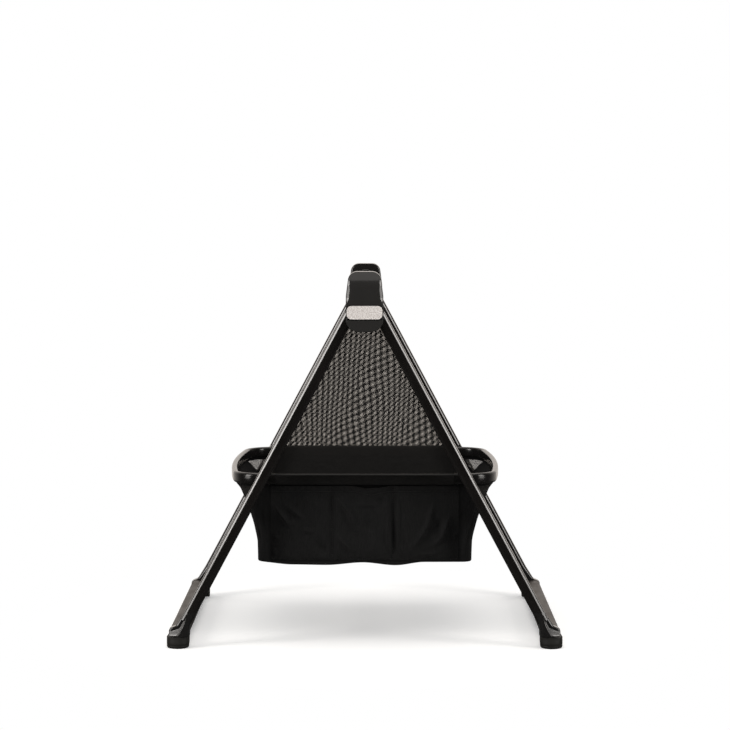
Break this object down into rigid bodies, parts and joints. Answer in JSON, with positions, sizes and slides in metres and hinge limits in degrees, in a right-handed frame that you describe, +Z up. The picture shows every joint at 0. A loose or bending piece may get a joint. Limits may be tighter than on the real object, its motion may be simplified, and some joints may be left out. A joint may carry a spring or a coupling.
{
  "type": "bassinet stand",
  "caption": "Folding A-frame stand for a pram bassinet, with hinged end hubs, mesh end panels, floor rails and a lift-up storage basket.",
  "frame": {"origin": "on the floor under the middle of the stand", "axes": "+X to the right along each A frame, +Y from the near frame to the far frame, +Z up"},
  "size_m": [0.661, 0.548, 0.628],
  "materials": {
    "anodised_tube": "black anodised, satin",
    "gloss_plastic": "black, glossy",
    "satin_plastic": "black, fine grain",
    "boot_rubber": "black, matte",
    "badge_metal": "satin, champagne tint",
    "steel": "zinc plated",
    "bag_fabric": "black woven polyester",
    "rail_sleeve": "black sleeve over a bar",
    "net_fabric": "black open mesh",
    "board": "black, plain"
  },
  "bodies": {
    "hubs": {"near_hub_outer": "gloss_plastic", "near_hub_inner": "satin_plastic", "near_hub_plate": "steel", "near_badge": "badge_metal", "near_release_spring": "steel", "near_net": "net_fabric", "near_left_bolt": "steel", "near_right_bolt": "steel", "far_hub_outer": "gloss_plastic", "far_hub_inner": "satin_plastic", "far_hub_plate": "steel", "far_badge": "badge_metal", "far_release_spring": "steel", "far_net": "net_fabric", "far_left_bolt": "steel", "far_right_bolt": "steel"},
    "left_frame": {"left_floor_rail": "anodised_tube", "left_near_leg": "anodised_tube", "left_near_knuckle": "satin_plastic", "left_near_foot": "satin_plastic", "left_near_boot": "boot_rubber", "left_near_ring_bracket": "satin_plastic", "left_near_ring_pin": "steel", "left_far_leg": "anodised_tube", "left_far_knuckle": "satin_plastic", "left_far_foot": "satin_plastic", "left_far_boot": "boot_rubber", "left_far_ring_bracket": "satin_plastic", "left_far_ring_pin": "steel"},
    "right_frame": {"right_floor_rail": "anodised_tube", "right_near_leg": "anodised_tube", "right_near_knuckle": "satin_plastic", "right_near_foot": "satin_plastic", "right_near_boot": "boot_rubber", "right_near_ring_cradle": "satin_plastic", "right_far_leg": "anodised_tube", "right_far_knuckle": "satin_plastic", "right_far_foot": "satin_plastic", "right_far_boot": "boot_rubber", "right_far_ring_cradle": "satin_plastic"},
    "basket": {"ring_left_end": "gloss_plastic", "ring_right_end": "gloss_plastic", "ring_near_rail": "rail_sleeve", "ring_far_rail": "rail_sleeve", "ring_near_peg": "steel", "ring_far_peg": "steel", "bag": "bag_fabric", "base_board": "board", "pockets": "bag_fabric"},
    "near_release": {"near_release_button": "satin_plastic", "near_lock_slide": "steel"},
    "far_release": {"far_release_button": "satin_plastic", "far_lock_slide": "steel"}
  },
  "joints": [
    {"name": "left_fold", "type": "hinge", "parent": "hubs", "child": "left_frame", "pos_m": [-0.0145, 0, 0.575], "axis": [0, -1, 0], "range_deg": [0, 27], "deforming": ["near_net", "far_net"]},
    {"name": "right_fold", "type": "hinge", "parent": "hubs", "child": "right_frame", "pos_m": [0.0145, 0, 0.575], "axis": [0, 1, 0], "range_deg": [0, 27]},
    {"name": "basket_lift", "type": "hinge", "parent": "left_frame", "child": "basket", "pos_m": [-0.17295, 0, 0.2785], "axis": [0, -1, 0], "range_deg": [0, 62]},
    {"name": "near_release_press", "type": "slide", "parent": "hubs", "child": "near_release", "axis": [0, -1, 0], "range_m": [0, 0.003], "stiffness_N_per_m": 400, "springref_m": -0.006, "deforming": ["near_release_spring"]},
    {"name": "far_release_press", "type": "slide", "parent": "hubs", "child": "far_release", "axis": [0, 1, 0], "range_m": [0, 0.003], "stiffness_N_per_m": 400, "springref_m": -0.006, "deforming": ["far_release_spring"]}
  ],
  "couplings": [
    {"joint": "right_fold", "follows": "left_fold", "ratio": 1}
  ]
}
